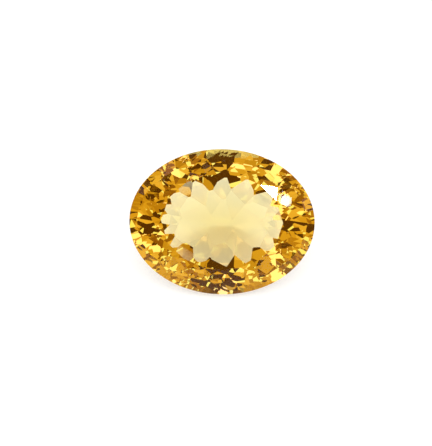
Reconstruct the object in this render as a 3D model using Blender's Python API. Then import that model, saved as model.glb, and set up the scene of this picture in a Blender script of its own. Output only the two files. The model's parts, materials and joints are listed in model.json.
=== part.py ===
"""An oval-cut citrine: one loose faceted gemstone that lies on one of its pavilion facets.

Metres, +Z up. The stone is cut facet by facet out of a block in the cutter's own axes, with the
table up, the long axis along X and the girdle's middle at the origin. It is then turned until the
facet that it rests on is level with the ground, which tips its table towards -Y.
"""

import math
import random
from dataclasses import dataclass

import bmesh
import bpy
import numpy as np
from mathutils import Matrix, Vector

MM = 0.001


@dataclass(frozen=True)
class Row:
    """A ring of facets: slope in degrees, height of their tips from the girdle's middle, and number.

    The first facet of a row is centred on the long axis, or half a step past it where it lies between.
    """

    slope: float
    height: float
    count: int
    between: bool = False


# The girdle's oval and the height of the crown above it
LENGTH = 18.0 * MM
WIDTH = 14.1 * MM
GIRDLE_THICKNESS = 0.15 * MM
GIRDLE_FLATS = 96
CROWN_HEIGHT = 1.65 * MM

# The crown's mains stand under the table's corners, with a star and two halves between each pair.
# Their feet would stand above the girdle by the lift, and the edge facets cut that corner off.
CROWN_MAINS = 16
TABLE_SHARE = 0.655
STAR_TIP_SHARE = 0.74
CROWN_LIFT = 0.26 * MM
EDGE_ROW = Row(38.0, GIRDLE_THICKNESS / 2, 32, between=True)

# The pavilion's rows, from the girdle to the keel
PAVILION_ROWS = (
    Row(43.6, -GIRDLE_THICKNESS / 2, 64),
    Row(43.2, -0.35 * MM, 56, between=True),
    Row(42.9, -0.7 * MM, 48),
    Row(42.6, -1.0 * MM, 32, between=True),
    Row(42.0, -1.4 * MM, 24),
    Row(41.2, -1.8 * MM, 16, between=True),
    Row(38.2, -2.65 * MM, 16),
    Row(36.0, -3.6 * MM, 16, between=True),
    Row(33.0, -4.3 * MM, 8),
)

# How far a facet cut by hand strays from the cutter's plan, in degrees
HAND_SEED = 11
HAND_SLOPE = 0.6
HAND_TURN = 4.0

# The block that the stone is ground from, and how near corners are before they are drawn together
BLOCK = 2.0 * LENGTH
MEET_WITHIN = 0.001 * MM

# The stone rests on a facet that faces the front within this angle
REST_SECTOR = math.radians(10.0)

UP = np.array([0.0, 0.0, 1.0])
LEAST_FACING = 1e-6

CITRINE = (0.86, 0.55, 0.05, 1.0)
QUARTZ_IOR = 1.55


@dataclass(frozen=True)
class Facet:
    """A flat cut: its outward direction and a point on it."""

    outward: np.ndarray
    point: np.ndarray

    @property
    def offset(self):
        return float(self.outward @ self.point)


def facet_at(outward, point):
    """A facet square to a direction of any length."""
    outward = np.asarray(outward, float)
    return Facet(outward / np.linalg.norm(outward), np.asarray(point, float))


def facet_through(a, b, c, towards):
    """The facet through three corners that faces the side of `towards`."""
    outward = np.cross(b - a, c - a)
    return facet_at(outward if outward @ towards > 0 else -outward, a)


def meet(*facets):
    """The corner where three facets meet."""
    sides = np.array([facet.outward for facet in facets])
    return np.linalg.solve(sides, np.array([facet.offset for facet in facets]))


def girdle_point(angle, height=0.0):
    """A point on the girdle's oval, and the direction square to the oval there."""
    half_length, half_width = LENGTH / 2, WIDTH / 2
    cos, sin = math.cos(angle), math.sin(angle)
    outward = np.array([cos / half_length, sin / half_width, 0.0])
    return np.array([half_length * cos, half_width * sin, height]), outward / np.linalg.norm(outward)


def oval_angle(bearing):
    """The oval's own angle for a point that lies at this bearing from its middle."""
    return math.atan2(LENGTH * math.sin(bearing), WIDTH * math.cos(bearing))


def crown_facets():
    """The table, then the stars, halves and mains around it. A main stands at each end of the long axis."""
    top = GIRDLE_THICKNESS / 2 + CROWN_HEIGHT
    foot = GIRDLE_THICKNESS / 2 + CROWN_LIFT
    step = 2 * math.pi / CROWN_MAINS
    feet, corners, mains = [], [], []
    for index in range(CROWN_MAINS):
        point, outward = girdle_point(oval_angle(step * index), foot)
        corner = np.array([TABLE_SHARE * point[0], TABLE_SHARE * point[1], top])
        along = np.cross(outward, UP)
        feet.append(point)
        corners.append(corner)
        mains.append(facet_through(point, corner, point + along, UP))
    facets = [facet_at(UP, (0.0, 0.0, top))]
    tip_level = facet_at(UP, (0.0, 0.0, foot + (top - foot) * STAR_TIP_SHARE))
    for index in range(CROWN_MAINS):
        following = (index + 1) % CROWN_MAINS
        tip = meet(mains[index], mains[following], tip_level)
        between, outward = girdle_point(oval_angle(step * (index + 0.5)), foot)
        facets.append(facet_through(corners[index], corners[following], tip, UP))
        facets.append(facet_through(feet[index], between, tip, outward))
        facets.append(facet_through(feet[following], between, tip, outward))
    return facets + mains


def girdle_facets():
    """The narrow upright flats that round the girdle."""
    step = 2 * math.pi / GIRDLE_FLATS
    flats = [girdle_point(step * (index + 0.5)) for index in range(GIRDLE_FLATS)]
    return [facet_at(outward, point) for point, outward in flats]


def on_stone(facets, towards, height):
    """The point at this height where the stone ground so far ends, in a level direction."""
    middle = np.array([0.0, 0.0, height])
    along = np.array([towards[0], towards[1], 0.0])
    along /= np.linalg.norm(along)
    ahead = [facet for facet in facets if facet.outward @ along > LEAST_FACING]
    reach = min((facet.offset - facet.outward @ middle) / (facet.outward @ along) for facet in ahead)
    return middle + reach * along


def edge_facets():
    """The small facets that rim the crown along the girdle."""
    tilt = math.radians(EDGE_ROW.slope)
    facets = []
    for index in range(EDGE_ROW.count):
        angle = 2 * math.pi * (index + 0.5 * EDGE_ROW.between) / EDGE_ROW.count
        point, outward = girdle_point(angle, EDGE_ROW.height)
        facets.append(facet_at(outward * math.sin(tilt) + UP * math.cos(tilt), point))
    return facets


def pavilion_facets():
    """The rows below the girdle. Each facet starts on the row above, at its corner where the numbers are equal."""
    hand = random.Random(HAND_SEED)
    facets, above = [], []
    for row in PAVILION_ROWS:
        level = facet_at(-UP, (0.0, 0.0, row.height))
        current = []
        for index in range(row.count):
            angle = 2 * math.pi * (index + 0.5 * row.between) / row.count
            angle += math.radians(hand.uniform(-HAND_TURN, HAND_TURN))
            tilt = math.radians(row.slope + hand.uniform(-HAND_SLOPE, HAND_SLOPE))
            start, outward = girdle_point(angle, -GIRDLE_THICKNESS / 2)
            if len(above) == row.count:
                neighbour = (index + (1 if row.between else -1)) % row.count
                start = meet(above[index], above[neighbour], level)
            if facets:
                start = on_stone(facets, start, row.height)
            current.append(facet_at(outward * math.sin(tilt) - UP * math.cos(tilt), start))
        facets += current
        above = current
    return facets


def grind(stone, facet):
    """Takes off all of the stone that lies outside a facet, and closes the cut flat."""
    bmesh.ops.bisect_plane(
        stone,
        geom=stone.verts[:] + stone.edges[:] + stone.faces[:],
        dist=MEET_WITHIN / 10,
        plane_co=Vector(facet.point),
        plane_no=Vector(facet.outward),
        clear_outer=True,
    )
    rim = [edge for edge in stone.edges if edge.is_boundary]
    if rim:
        bmesh.ops.contextual_create(stone, geom=rim)


def cut_stone(facets):
    """The block with every facet ground on it."""
    stone = bmesh.new()
    bmesh.ops.create_cube(stone, size=BLOCK)
    for facet in facets:
        grind(stone, facet)
    bmesh.ops.remove_doubles(stone, verts=stone.verts[:], dist=MEET_WITHIN)
    bmesh.ops.dissolve_degenerate(stone, edges=stone.edges[:], dist=MEET_WITHIN)
    bmesh.ops.recalc_face_normals(stone, faces=stone.faces[:])
    return stone


def centre_of_mass(stone):
    """The solid's centre of mass, summed over the cones from the origin to each facet."""
    volume, moment = 0.0, Vector()
    for face in stone.faces:
        first = face.verts[0].co
        for one, two in zip(face.verts[1:-1], face.verts[2:]):
            cone = first.dot(one.co.cross(two.co)) / 6
            volume += cone
            moment += cone * (first + one.co + two.co) / 4
    return moment / volume


def resting_pose(stone):
    """The turn and shift that lay the stone on the front pavilion facet nearest its centre of mass."""
    centre = centre_of_mass(stone)
    front = [
        face
        for face in stone.faces
        if face.normal.z < 0 and -face.normal.y > math.cos(REST_SECTOR) * face.normal.to_2d().length
    ]
    rest = min(front, key=lambda face: face.normal.dot(face.verts[0].co - centre))
    turn = rest.normal.rotation_difference(Vector((0.0, 0.0, -1.0))).to_matrix().to_4x4()
    corners = [turn @ vert.co for vert in stone.verts]
    low = Vector(min(corner[axis] for corner in corners) for axis in range(3))
    high = Vector(max(corner[axis] for corner in corners) for axis in range(3))
    return Matrix.Translation((-(low.x + high.x) / 2, -(low.y + high.y) / 2, -low.z)) @ turn


def citrine_material():
    """Clear golden quartz."""
    material = bpy.data.materials.new("citrine")
    material.use_nodes = True
    shader = material.node_tree.nodes["Principled BSDF"]
    shader.inputs["Base Color"].default_value = CITRINE
    shader.inputs["Metallic"].default_value = 0.0
    shader.inputs["Roughness"].default_value = 0.02
    shader.inputs["IOR"].default_value = QUARTZ_IOR
    shader.inputs["Transmission Weight"].default_value = 1.0
    return material


def main():
    for leftover in list(bpy.data.objects):
        bpy.data.objects.remove(leftover, do_unlink=True)
    stone = cut_stone(crown_facets() + edge_facets() + girdle_facets() + pavilion_facets())
    pose = resting_pose(stone)
    mesh = bpy.data.meshes.new("citrine_gem")
    stone.to_mesh(mesh)
    stone.free()
    mesh.materials.append(citrine_material())
    gem = bpy.data.objects.new("citrine_gem", mesh)
    gem.matrix_world = pose
    bpy.context.scene.collection.objects.link(gem)


if __name__ == "__main__":
    main()
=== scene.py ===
"""A loose oval-cut citrine on a pale sweep, face up to the camera inside a jeweller's light tent.

Metres, +Z up. The stone stays where the frame puts it: it lies on a pavilion facet, so its table is
tipped towards -Y, and the camera looks square down on the table from there.
"""

import json
import logging
import math
import random
from dataclasses import dataclass
from enum import Enum

import bpy
from mathutils import Matrix, Vector
from mathutils.bvhtree import BVHTree

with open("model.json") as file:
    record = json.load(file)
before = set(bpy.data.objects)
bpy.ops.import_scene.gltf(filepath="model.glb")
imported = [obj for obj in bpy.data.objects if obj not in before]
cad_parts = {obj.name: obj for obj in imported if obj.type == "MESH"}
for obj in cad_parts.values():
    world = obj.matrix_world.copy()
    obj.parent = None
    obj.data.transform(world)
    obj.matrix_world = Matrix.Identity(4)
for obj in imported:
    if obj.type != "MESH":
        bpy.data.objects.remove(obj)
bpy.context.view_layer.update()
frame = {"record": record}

MM = 0.001
STONE = "citrine_gem"
WHITE = (1.0, 1.0, 1.0, 1.0)

# A facet is upright where its direction leans from the girdle's plane by less than this cosine
UPRIGHT = 0.02

# How often a ray may bounce inside the stone, and on the floor
STONE_BOUNCES = 32
FLOOR_BOUNCES = 4

log = logging.getLogger("citrine")


class Socket:
    """A node's output that adds Math nodes when it is used in an expression."""

    def __init__(self, shader: "Shader", socket: bpy.types.NodeSocket) -> None:
        """Wraps an output socket of a shader's tree."""
        self.shader = shader
        self.socket = socket

    def _math(self, operation: str, *values: "Socket | float") -> "Socket":
        """Adds one Math node."""
        return self.shader.node("ShaderNodeMath", {"operation": operation}, dict(enumerate(values)))

    def __add__(self, other: "Socket | float") -> "Socket":
        """Sum."""
        return self._math("ADD", self, other)

    def __sub__(self, other: "Socket | float") -> "Socket":
        """Difference."""
        return self._math("SUBTRACT", self, other)

    def __rsub__(self, other: float) -> "Socket":
        """Difference from a number."""
        return self._math("SUBTRACT", other, self)

    def __mul__(self, other: "Socket | float") -> "Socket":
        """Product."""
        return self._math("MULTIPLY", self, other)

    def __lt__(self, other: "Socket | float") -> "Socket":
        """One where this is under the other, else zero."""
        return self._math("LESS_THAN", self, other)

    def __abs__(self) -> "Socket":
        """Size without sign."""
        return self._math("ABSOLUTE", self)

    __radd__ = __add__
    __rmul__ = __mul__


class Shader:
    """Builds one material's node tree."""

    def __init__(self, name: str) -> None:
        """Starts a material with nothing in it but its output."""
        self.material = bpy.data.materials.new(name)
        self.material.use_nodes = True
        self.tree = self.material.node_tree
        self.tree.nodes.clear()
        self.output = self.tree.nodes.new("ShaderNodeOutputMaterial")

    def node(self, kind: str, settings: dict, inputs: dict, out: "str | int" = 0) -> Socket:
        """Adds a node.

        Args:
            kind: The node's Blender type.
            settings: Values of the node's own properties, set first.
            inputs: Socket name or number to a value or to another node's output.
            out: Name or number of the output to give back.

        Returns:
            The output asked for.
        """
        node = self.tree.nodes.new(kind)
        for name, value in settings.items():
            setattr(node, name, value)
        for name, value in inputs.items():
            if isinstance(value, Socket):
                self.tree.links.new(value.socket, node.inputs[name])
            else:
                node.inputs[name].default_value = value
        return Socket(self, node.outputs[out])

    def noise(self, where: Socket, grain: float, detail: float) -> Socket:
        """Noise from zero to one over a position, with grains of a size in metres."""
        inputs = {"Vector": where, "Scale": 1.0 / grain, "Detail": detail}
        return self.node("ShaderNodeTexNoise", {}, inputs, "Fac")

    def finish(self, surface: Socket, volume: "Socket | None" = None) -> bpy.types.Material:
        """Links the output and gives the material back."""
        self.tree.links.new(surface.socket, self.output.inputs["Surface"])
        if volume is not None:
            self.tree.links.new(volume.socket, self.output.inputs["Volume"])
        return self.material


@dataclass(frozen=True)
class StoneAxes:
    """The stone's own axes as it lies, and the half sizes of its girdle along them."""

    centre: Vector
    length: Vector
    width: Vector
    table: Vector
    half_length: float
    half_width: float
    half_girdle: float
    surface: BVHTree

    @classmethod
    def of_node(cls, name: str) -> "StoneAxes":
        """Reads the axes of the node as the frame holds it.

        Args:
            name: The stone's node.

        Returns:
            Its axes, with the centre in the middle of the upright flats of its girdle.
        """
        mounts = {mount["name"]: mount for mount in frame["record"]["mounts"]}
        table = Vector(mounts["table_facet"]["axis"]).normalized()
        length = Vector((1.0, 0.0, 0.0))
        length = (length - length.dot(table) * table).normalized()
        width = table.cross(length)
        mesh = bpy.data.objects[name].data
        corners = [vertex.co.copy() for vertex in mesh.vertices]
        faces = [tuple(polygon.vertices) for polygon in mesh.polygons]
        flats = [
            corners[index]
            for polygon in mesh.polygons
            if abs(polygon.normal.dot(table)) < UPRIGHT
            for index in polygon.vertices
        ]
        centre, halves = Vector(), []
        for axis in (length, width, table):
            reach = [corner.dot(axis) for corner in flats]
            centre += axis * (min(reach) + max(reach)) / 2
            halves.append((max(reach) - min(reach)) / 2)
        return cls(centre, length, width, table, *halves, BVHTree.FromPolygons(corners, faces))

    def towards(self, off_axis: float, clock: float) -> Vector:
        """A direction by its angle off the table's axis and its turn from the length, in degrees."""
        off, turn = math.radians(off_axis), math.radians(clock)
        across = self.length * math.cos(turn) + self.width * math.sin(turn)
        return self.table * math.cos(off) + across * math.sin(off)

    def on_crown(self, share: float, clock: float) -> tuple[Vector, Vector]:
        """Finds a point of the crown and the direction that its facet faces.

        Args:
            share: How far out the point is, from 0 at the middle to 1 at the girdle.
            clock: The point's turn from the length, in degrees.

        Returns:
            The point, and the facet's outward direction.
        """
        turn = math.radians(clock)
        across = self.length * self.half_length * math.cos(turn)
        across += self.width * self.half_width * math.sin(turn)
        above = self.centre + across * share + self.table * self.half_length
        point, outward, _, _ = self.surface.ray_cast(above, -self.table)
        return point, outward


@dataclass(frozen=True)
class Glint:
    """A spot on the crown that throws a small lamp straight back into the lens.

    The glint is the real reflection of the lamp, strengthened by a painted highlight: an extra
    reflective coat over the spot. The share and the clock place it as StoneAxes.on_crown does, and
    the reach is its radius. The rest is the lamp's size and how brightly it glows.
    """

    name: str
    share: float
    clock: float
    reach: float
    wide: float
    high: float
    radiance: float


# Each glint is a real lamp's reflection, strengthened by a painted highlight coat on its spot
GLINTS = (
    Glint("star_glint", 0.68, 40.1, 1.25 * MM, 6.5 * MM, 6.5 * MM, 200.0),
    Glint("main_glint", 0.742, 24.0, 0.7 * MM, 1.9 * MM, 2.1 * MM, 13.0),
)


@dataclass(frozen=True)
class ClearCitrine:
    """Clear golden quartz: polished facets, a finely ground girdle, and a painted highlight: an extra
    reflective coat on the crown's spots where the lamps glint.

    The light that crosses it loses blue and a little green, and its colour is deeper in faint bands.
    """

    ior: float = 1.55
    glare: float = 0.25
    blue_loss_per_m: float = 118.0
    green_loss_per_m: float = 14.0
    deep_band: tuple[float, float, float, float] = (1.0, 0.985, 0.95, 1.0)
    band_size: float = 3.0 * MM
    polish_roughness: float = 0.003
    polish_size: float = 0.8 * MM
    ground_roughness: float = 0.05
    ground_grain: float = 0.03 * MM
    ground_depth: float = 0.0001 * MM
    # Painted highlight: the extra coat on the glint spots, its reflectance and its blur
    painted_glint_ior: float = 1.9
    painted_glint_roughness: float = 0.03

    def _painted_glint_spots(self, shader: Shader, where: Socket, axes: StoneAxes) -> Socket:
        """Painted highlight mask: one on the outside of the crown's glint spots, else zero."""
        inside = shader.node("ShaderNodeNewGeometry", {}, {}, "Backfacing")
        distance = {"operation": "DISTANCE"}
        off_painted_glints = 1.0
        for glint in GLINTS:
            spot, _ = axes.on_crown(glint.share, glint.clock)
            apart = shader.node("ShaderNodeVectorMath", distance, {0: where, 1: spot}, "Value")
            off_painted_glints = (1.0 - (apart < glint.reach)) * off_painted_glints
        return (1.0 - off_painted_glints) * (1.0 - inside)

    def material(self, axes: StoneAxes) -> bpy.types.Material:
        """Builds the finish of a stone that lies along these axes."""
        shader = Shader("clear_citrine")
        where = shader.node("ShaderNodeTexCoord", {}, {}, "Object")
        minus, dot = {"operation": "SUBTRACT"}, {"operation": "DOT_PRODUCT"}
        apart = shader.node("ShaderNodeVectorMath", minus, {0: where, 1: axes.centre})
        height = shader.node("ShaderNodeVectorMath", dot, {0: apart, 1: axes.table}, "Value")
        ground = abs(height) < axes.half_girdle
        polish = shader.noise(where, self.polish_size, detail=3.0) * self.polish_roughness
        roughness = ground * self.ground_roughness + (1.0 - ground) * polish
        grain = shader.noise(where, self.ground_grain, detail=2.0) * ground
        relief = {"Strength": 1.0, "Distance": self.ground_depth, "Height": grain}
        bands = shader.noise(where, self.band_size, detail=1.0)
        tint = shader.node(
            "ShaderNodeMix",
            {"data_type": "RGBA"},
            {"Factor": bands, "A": WHITE, "B": self.deep_band},
            "Result",
        )
        surface = shader.node(
            "ShaderNodeBsdfPrincipled",
            {},
            {
                "Base Color": tint,
                "Roughness": roughness,
                "Normal": shader.node("ShaderNodeBump", {}, relief),
                "IOR": self.ior,
                "Specular Tint": (self.glare, self.glare, self.glare, 1.0),
                "Transmission Weight": 1.0,
                # Painted highlight: an extra reflective coat only on the spots where the lamps glint
                "Coat Weight": self._painted_glint_spots(shader, where, axes),
                "Coat IOR": self.painted_glint_ior,
                "Coat Roughness": self.painted_glint_roughness,
            },
        )
        kept_green = 1.0 - self.green_loss_per_m / self.blue_loss_per_m
        body = shader.node(
            "ShaderNodeVolumeAbsorption",
            {},
            {"Color": (1.0, kept_green, 0.0, 1.0), "Density": self.blue_loss_per_m},
        )
        return shader.finish(surface, body)


@dataclass
class CutStone:
    """The stone itself, which keeps the frame's solid."""

    axes: StoneAxes
    finish: ClearCitrine

    def build(self) -> None:
        """Gives the solid its finish."""
        stone = bpy.data.objects[STONE]
        stone.data.materials.clear()
        stone.data.materials.append(self.finish.material(self.axes))
        log.info("%s: %d triangles", STONE, len(stone.data.polygons))


class Tone(Enum):
    """The glow of one panel of the tent, as the stone sees it."""

    FLAG = (0.09, 0.033, 0.005)
    BROWN = (0.2, 0.08, 0.01)
    UMBER = (0.29, 0.12, 0.016)
    AMBER = (0.4, 0.18, 0.025)
    HONEY = (0.51, 0.265, 0.036)
    STRAW = (0.61, 0.345, 0.055)
    GOLD = (0.72, 0.42, 0.08)
    PALE = (0.86, 0.55, 0.2)
    BARE_LAMP = (1.8, 1.3, 1.7)


@dataclass
class LightTent:
    """Rings of cloth panels, flags and lamps round the table's axis. Only the stone sees them."""

    axes: StoneAxes
    radius: float = 0.5
    first_ring: float = 16.0
    last_ring: float = 146.0
    ring_step: float = 10.0
    panel_width: float = 10.0
    panel_fill: float = 0.97
    lowest_middle: float = 0.0
    shade_off_axis: float = 0.001
    shade_half_angle: float = 11.0
    shade_sides: int = 32
    hang_seed: int = 37
    mix: tuple[Tone, ...] = (
        Tone.FLAG, Tone.FLAG, Tone.BROWN, Tone.UMBER, Tone.AMBER, Tone.HONEY,
        Tone.HONEY, Tone.STRAW, Tone.GOLD, Tone.GOLD, Tone.PALE, Tone.BARE_LAMP,
    )

    def _place(self, off_axis: float, clock: float) -> Matrix:
        """Where a panel of the tent stands, with its face towards the stone."""
        towards = self.axes.towards(off_axis, clock)
        across = self.axes.table.cross(towards).normalized()
        turn = Matrix((across, towards.cross(across), towards)).transposed().to_4x4()
        return Matrix.Translation(self.axes.centre + towards * self.radius) @ turn

    def _ring(self, off_axis: float, hang: random.Random) -> list[tuple[list[Vector], Tone]]:
        """Hangs one ring.

        Args:
            off_axis: The ring's angle off the table's axis, in degrees.
            hang: The source of each panel's tone and of the ring's turn.

        Returns:
            Each panel's corners and tone, without those that would hang under the floor.
        """
        around = math.sin(math.radians(off_axis))
        count = round(360.0 * around / self.panel_width)
        half_width = self.radius * math.tan(math.pi * around / count) * self.panel_fill
        half_height = self.radius * math.tan(math.radians(self.ring_step / 2)) * self.panel_fill
        turn = hang.random()
        panels = []
        for index in range(count):
            tone = hang.choice(self.mix)
            place = self._place(off_axis, 360.0 * (index + turn) / count)
            if place.translation.z < self.lowest_middle:
                continue
            signs = ((-1, -1), (1, -1), (1, 1), (-1, 1))
            corners = [place @ Vector((x * half_width, y * half_height, 0.0)) for x, y in signs]
            panels.append((corners, tone))
        return panels

    def _shade(self) -> tuple[list[Vector], Tone]:
        """The round shade that the lens looks through."""
        place = self._place(self.shade_off_axis, 0.0)
        reach = self.radius * math.tan(math.radians(self.shade_half_angle))
        turns = [2 * math.pi * index / self.shade_sides for index in range(self.shade_sides)]
        rim = [Vector((reach * math.cos(turn), reach * math.sin(turn), 0.0)) for turn in turns]
        return [place @ point for point in rim], Tone.FLAG

    def _cloth(self) -> bpy.types.Material:
        """A glow that takes its colour from each panel's own tone."""
        shader = Shader("tent_cloth")
        tone = shader.node("ShaderNodeAttribute", {"attribute_name": "tone"}, {}, "Color")
        glow = shader.node("ShaderNodeEmission", {}, {"Color": tone, "Strength": 1.0})
        return shader.finish(glow)

    def build(self) -> None:
        """Hangs every panel in one mesh."""
        hang = random.Random(self.hang_seed)
        panels = [self._shade()]
        off_axis = self.first_ring
        while off_axis <= self.last_ring:
            panels += self._ring(off_axis, hang)
            off_axis += self.ring_step
        corners, faces = [], []
        for outline, _ in panels:
            faces.append(tuple(range(len(corners), len(corners) + len(outline))))
            corners += outline
        mesh = bpy.data.meshes.new("light_tent")
        mesh.from_pydata(corners, [], faces)
        tones = mesh.attributes.new("tone", "FLOAT_COLOR", "CORNER")
        for polygon, (_, tone) in zip(mesh.polygons, panels):
            for loop in polygon.loop_indices:
                tones.data[loop].color = (*tone.value, 1.0)
        mesh.materials.append(self._cloth())
        tent = bpy.data.objects.new("light_tent", mesh)
        tent.visible_camera = False
        tent.visible_shadow = False
        tent.visible_diffuse = False
        bpy.context.scene.collection.objects.link(tent)
        log.info("light tent: %d panels", len(panels))


@dataclass
class Studio:
    """The pale sweep that the stone lies on, and the plain light round it."""

    floor_size: float = 2.0
    floor_colour: float = 0.6
    floor_glow: float = 0.5
    floor_gap: float = 0.02 * MM
    daylight: float = 1.15

    def build(self) -> None:
        """Lays the floor and lights it evenly from all round."""
        half = self.floor_size / 2
        corners = [(-half, -half), (half, -half), (half, half), (-half, half)]
        mesh = bpy.data.meshes.new("floor")
        mesh.from_pydata([(x, y, -self.floor_gap) for x, y in corners], [], [(0, 1, 2, 3)])
        shader = Shader("pale_floor")
        pale = (self.floor_colour, self.floor_colour, self.floor_colour, 1.0)
        mesh.materials.append(
            shader.finish(
                shader.node(
                    "ShaderNodeBsdfPrincipled",
                    {},
                    {
                        "Base Color": pale,
                        "Roughness": 1.0,
                        "Specular IOR Level": 0.0,
                        "Emission Color": WHITE,
                        "Emission Strength": self.floor_glow,
                    },
                )
            )
        )
        floor = bpy.data.objects.new("floor", mesh)
        bpy.context.scene.collection.objects.link(floor)
        world = bpy.data.worlds.new("daylight")
        world.use_nodes = True
        background = world.node_tree.nodes["Background"]
        background.inputs["Color"].default_value = WHITE
        background.inputs["Strength"].default_value = self.daylight
        bpy.context.scene.world = world
        log.info("studio: floor and daylight")


@dataclass
class FaceUpCamera:
    """A long lens that looks square down on the table, framed as the photograph is."""

    axes: StoneAxes
    distance: float = 0.30
    near_clip: float = 0.01
    frame_width_px: float = 432.0
    px_per_mm: float = 10.29
    stone_right_px: float = 6.0
    stone_up_px: float = 1.4
    roll: float = 1.2

    def place(self) -> Vector:
        """Where the lens stands."""
        right, up = self.stone_right_px / self.px_per_mm, self.stone_up_px / self.px_per_mm
        aim = self.axes.centre - (self.axes.length * right + self.axes.width * up) * MM
        return aim + self.axes.table * self.distance

    def build(self) -> None:
        """Places the camera and makes it the scene's."""
        data = bpy.data.cameras.new("camera")
        data.sensor_fit = "HORIZONTAL"
        data.lens = data.sensor_width * self.distance / (self.frame_width_px / self.px_per_mm * MM)
        data.clip_start = self.near_clip
        camera = bpy.data.objects.new("camera", data)
        axes = self.axes
        turn = Matrix((axes.length, axes.width, axes.table)).transposed().to_4x4()
        roll = Matrix.Rotation(math.radians(self.roll), 4, "Z")
        camera.matrix_world = Matrix.Translation(self.place()) @ turn @ roll
        bpy.context.scene.collection.objects.link(camera)
        bpy.context.scene.camera = camera
        log.info("camera: %.0f mm lens", data.lens)


@dataclass
class GlintLamps:
    """Small bare lamps, each hung where one facet of the crown mirrors it to the lens."""

    axes: StoneAxes
    lens: Vector
    distance: float = 0.35

    def build(self) -> None:
        """Hangs the lamps."""
        for glint in GLINTS:
            point, outward = self.axes.on_crown(glint.share, glint.clock)
            seen = (self.lens - point).normalized()
            mirrored = (2 * seen.dot(outward) * outward - seen).normalized()
            data = bpy.data.lights.new(glint.name, "AREA")
            data.shape = "RECTANGLE"
            data.size = glint.wide
            data.size_y = glint.high
            data.energy = glint.radiance * math.pi * glint.wide * glint.high
            lamp = bpy.data.objects.new(glint.name, data)
            turn = mirrored.to_track_quat("Z", "Y").to_matrix().to_4x4()
            lamp.matrix_world = Matrix.Translation(point + mirrored * self.distance) @ turn
            lamp.visible_camera = False
            bpy.context.scene.collection.objects.link(lamp)
            log.info("%s: off the table's axis by %.1f degrees", glint.name,
                     math.degrees(mirrored.angle(self.axes.table)))


def set_light_paths() -> None:
    """Lets a ray bounce often enough inside the stone, and keeps colours as they are lit."""
    scene = bpy.context.scene
    scene.cycles.max_bounces = STONE_BOUNCES
    scene.cycles.glossy_bounces = STONE_BOUNCES
    scene.cycles.transmission_bounces = STONE_BOUNCES
    scene.cycles.diffuse_bounces = FLOOR_BOUNCES
    scene.cycles.use_denoising = True
    scene.view_settings.view_transform = "Standard"


def main() -> None:
    """Builds the stone, then the studio round it."""
    logging.basicConfig(level=logging.INFO, format="%(message)s")
    axes = StoneAxes.of_node(STONE)
    CutStone(axes, ClearCitrine()).build()
    Studio().build()
    LightTent(axes).build()
    camera = FaceUpCamera(axes)
    camera.build()
    GlintLamps(axes, camera.place()).build()
    set_light_paths()


if __name__ == "__main__":
    main()
